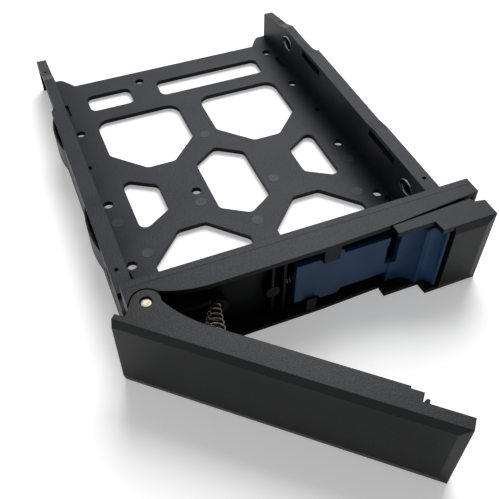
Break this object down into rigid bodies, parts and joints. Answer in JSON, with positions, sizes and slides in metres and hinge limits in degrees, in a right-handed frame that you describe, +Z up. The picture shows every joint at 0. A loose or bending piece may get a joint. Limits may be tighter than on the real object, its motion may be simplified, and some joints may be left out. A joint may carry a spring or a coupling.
{
  "type": "hot swap drive caddy",
  "caption": "Plastic tray for a 3.5-inch or 2.5-inch drive with a perforated floor, side walls, a hollow bezel, a swinging front lever and a sliding lock.",
  "frame": {"origin": "on the floor's top face, where the drive sits, on the centre line of the 3.5-inch hole pattern and level with its front pair of holes", "axes": "+X to the right seen from the front, +Y from the front to the connector end, +Z up from the floor"},
  "size_m": [0.121, 0.2222, 0.0305],
  "materials": {
    "tray_plastic": "fine moulded grain",
    "bezel_plastic": "fine moulded grain",
    "lever_plastic": "satin moulded",
    "lock_plastic": "blue, half gloss",
    "spring_steel": "drawn wire",
    "pin_steel": "turned, plain"
  },
  "bodies": {
    "tray": {"tray": "tray_plastic", "bezel_housing": "bezel_plastic", "end_block": "bezel_plastic", "hinge_pin": "pin_steel", "kick_spring": "spring_steel", "latch_spring": "spring_steel"},
    "lever": {"lever": "lever_plastic"},
    "lock": {"latch_slide": "lock_plastic"}
  },
  "joints": [
    {"name": "lever_hinge", "type": "hinge", "parent": "tray", "child": "lever", "pos_m": [-0.0509, -0.0384, 0.01275], "axis": [0, 0, 1], "range_deg": [0, 42.07], "deforming": ["kick_spring"]},
    {"name": "lock_slide", "type": "slide", "parent": "tray", "child": "lock", "axis": [1, 0, 0], "range_m": [-0.0018, 0], "stiffness_N_per_m": 400, "deforming": ["latch_spring"]}
  ]
}
